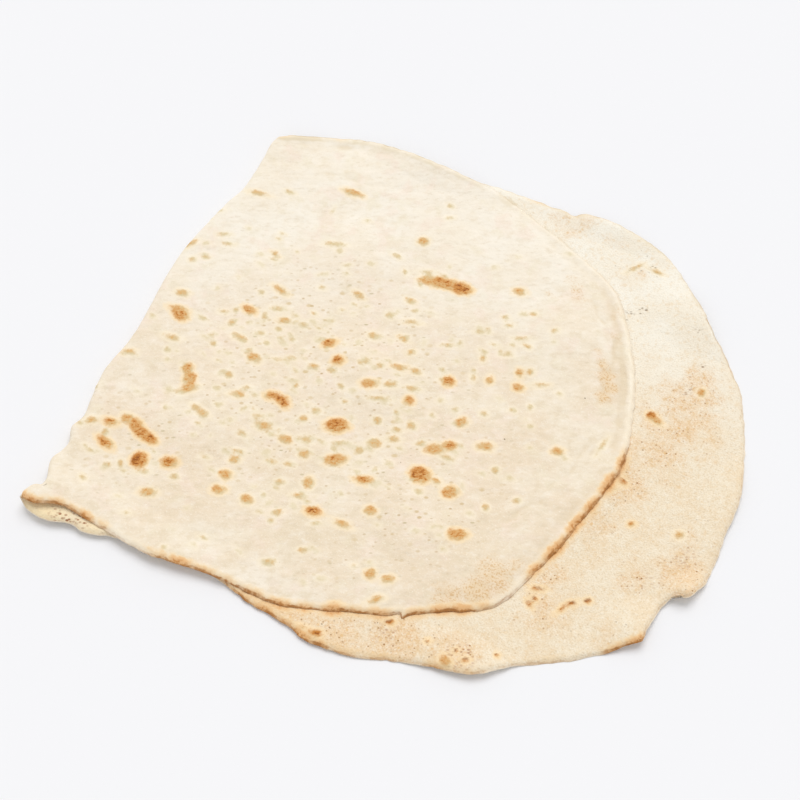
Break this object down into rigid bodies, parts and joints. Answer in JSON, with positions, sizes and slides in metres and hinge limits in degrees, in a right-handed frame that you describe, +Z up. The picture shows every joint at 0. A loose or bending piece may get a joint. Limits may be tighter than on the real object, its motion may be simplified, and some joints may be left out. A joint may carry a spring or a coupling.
{
  "type": "folded lavash flatbread",
  "caption": "Thin baked flatbread sheet folded over once, with a smaller spotted upper flap lying on a larger lower flap, pale with toasted edges.",
  "frame": {"origin": "middle of the bread's footprint, at the height of the table it lies on", "axes": "+Y along the fold, +X from the fold towards the loose edges, +Z up"},
  "size_m": [0.4066, 0.369, 0.0131],
  "materials": {
    "baked_dough": "matte baked dough, cream, floury, with golden brown toasted spots and edges"
  },
  "bodies": {
    "root": {"lavash_sheet": "baked_dough"}
  },
  "joints": []
}
